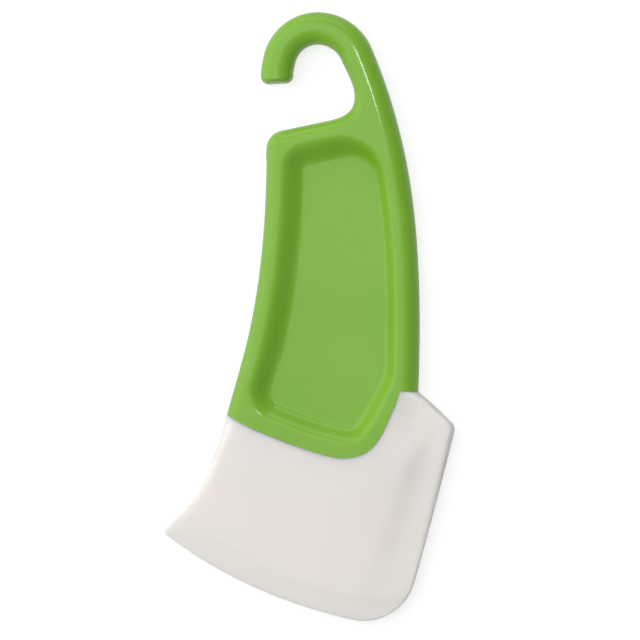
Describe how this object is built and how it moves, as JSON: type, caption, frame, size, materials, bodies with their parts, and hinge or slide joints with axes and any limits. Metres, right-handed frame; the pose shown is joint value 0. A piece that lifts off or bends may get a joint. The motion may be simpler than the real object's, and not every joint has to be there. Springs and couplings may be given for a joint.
{
  "type": "pan scraper",
  "caption": "Flat hand scraper with an open hanging hook, a grip dished on both faces and a slanted soft blade moulded over a hidden tang.",
  "frame": {"origin": "middle of the bounding box's bottom face: the scraper lies flat on one face and the origin is under the middle of the whole", "axes": "+Y runs along the scraper from the blade towards the hanging hook, +Z points out of the face that lies upwards, +X runs to the side of the handle's straight back"},
  "size_m": [0.095, 0.21, 0.011],
  "materials": {
    "handle_plastic": "injection-moulded polypropylene, glossy leaf green",
    "blade_silicone": "translucent milky white silicone, satin"
  },
  "bodies": {
    "root": {"handle": "handle_plastic", "blade": "blade_silicone"}
  },
  "joints": []
}
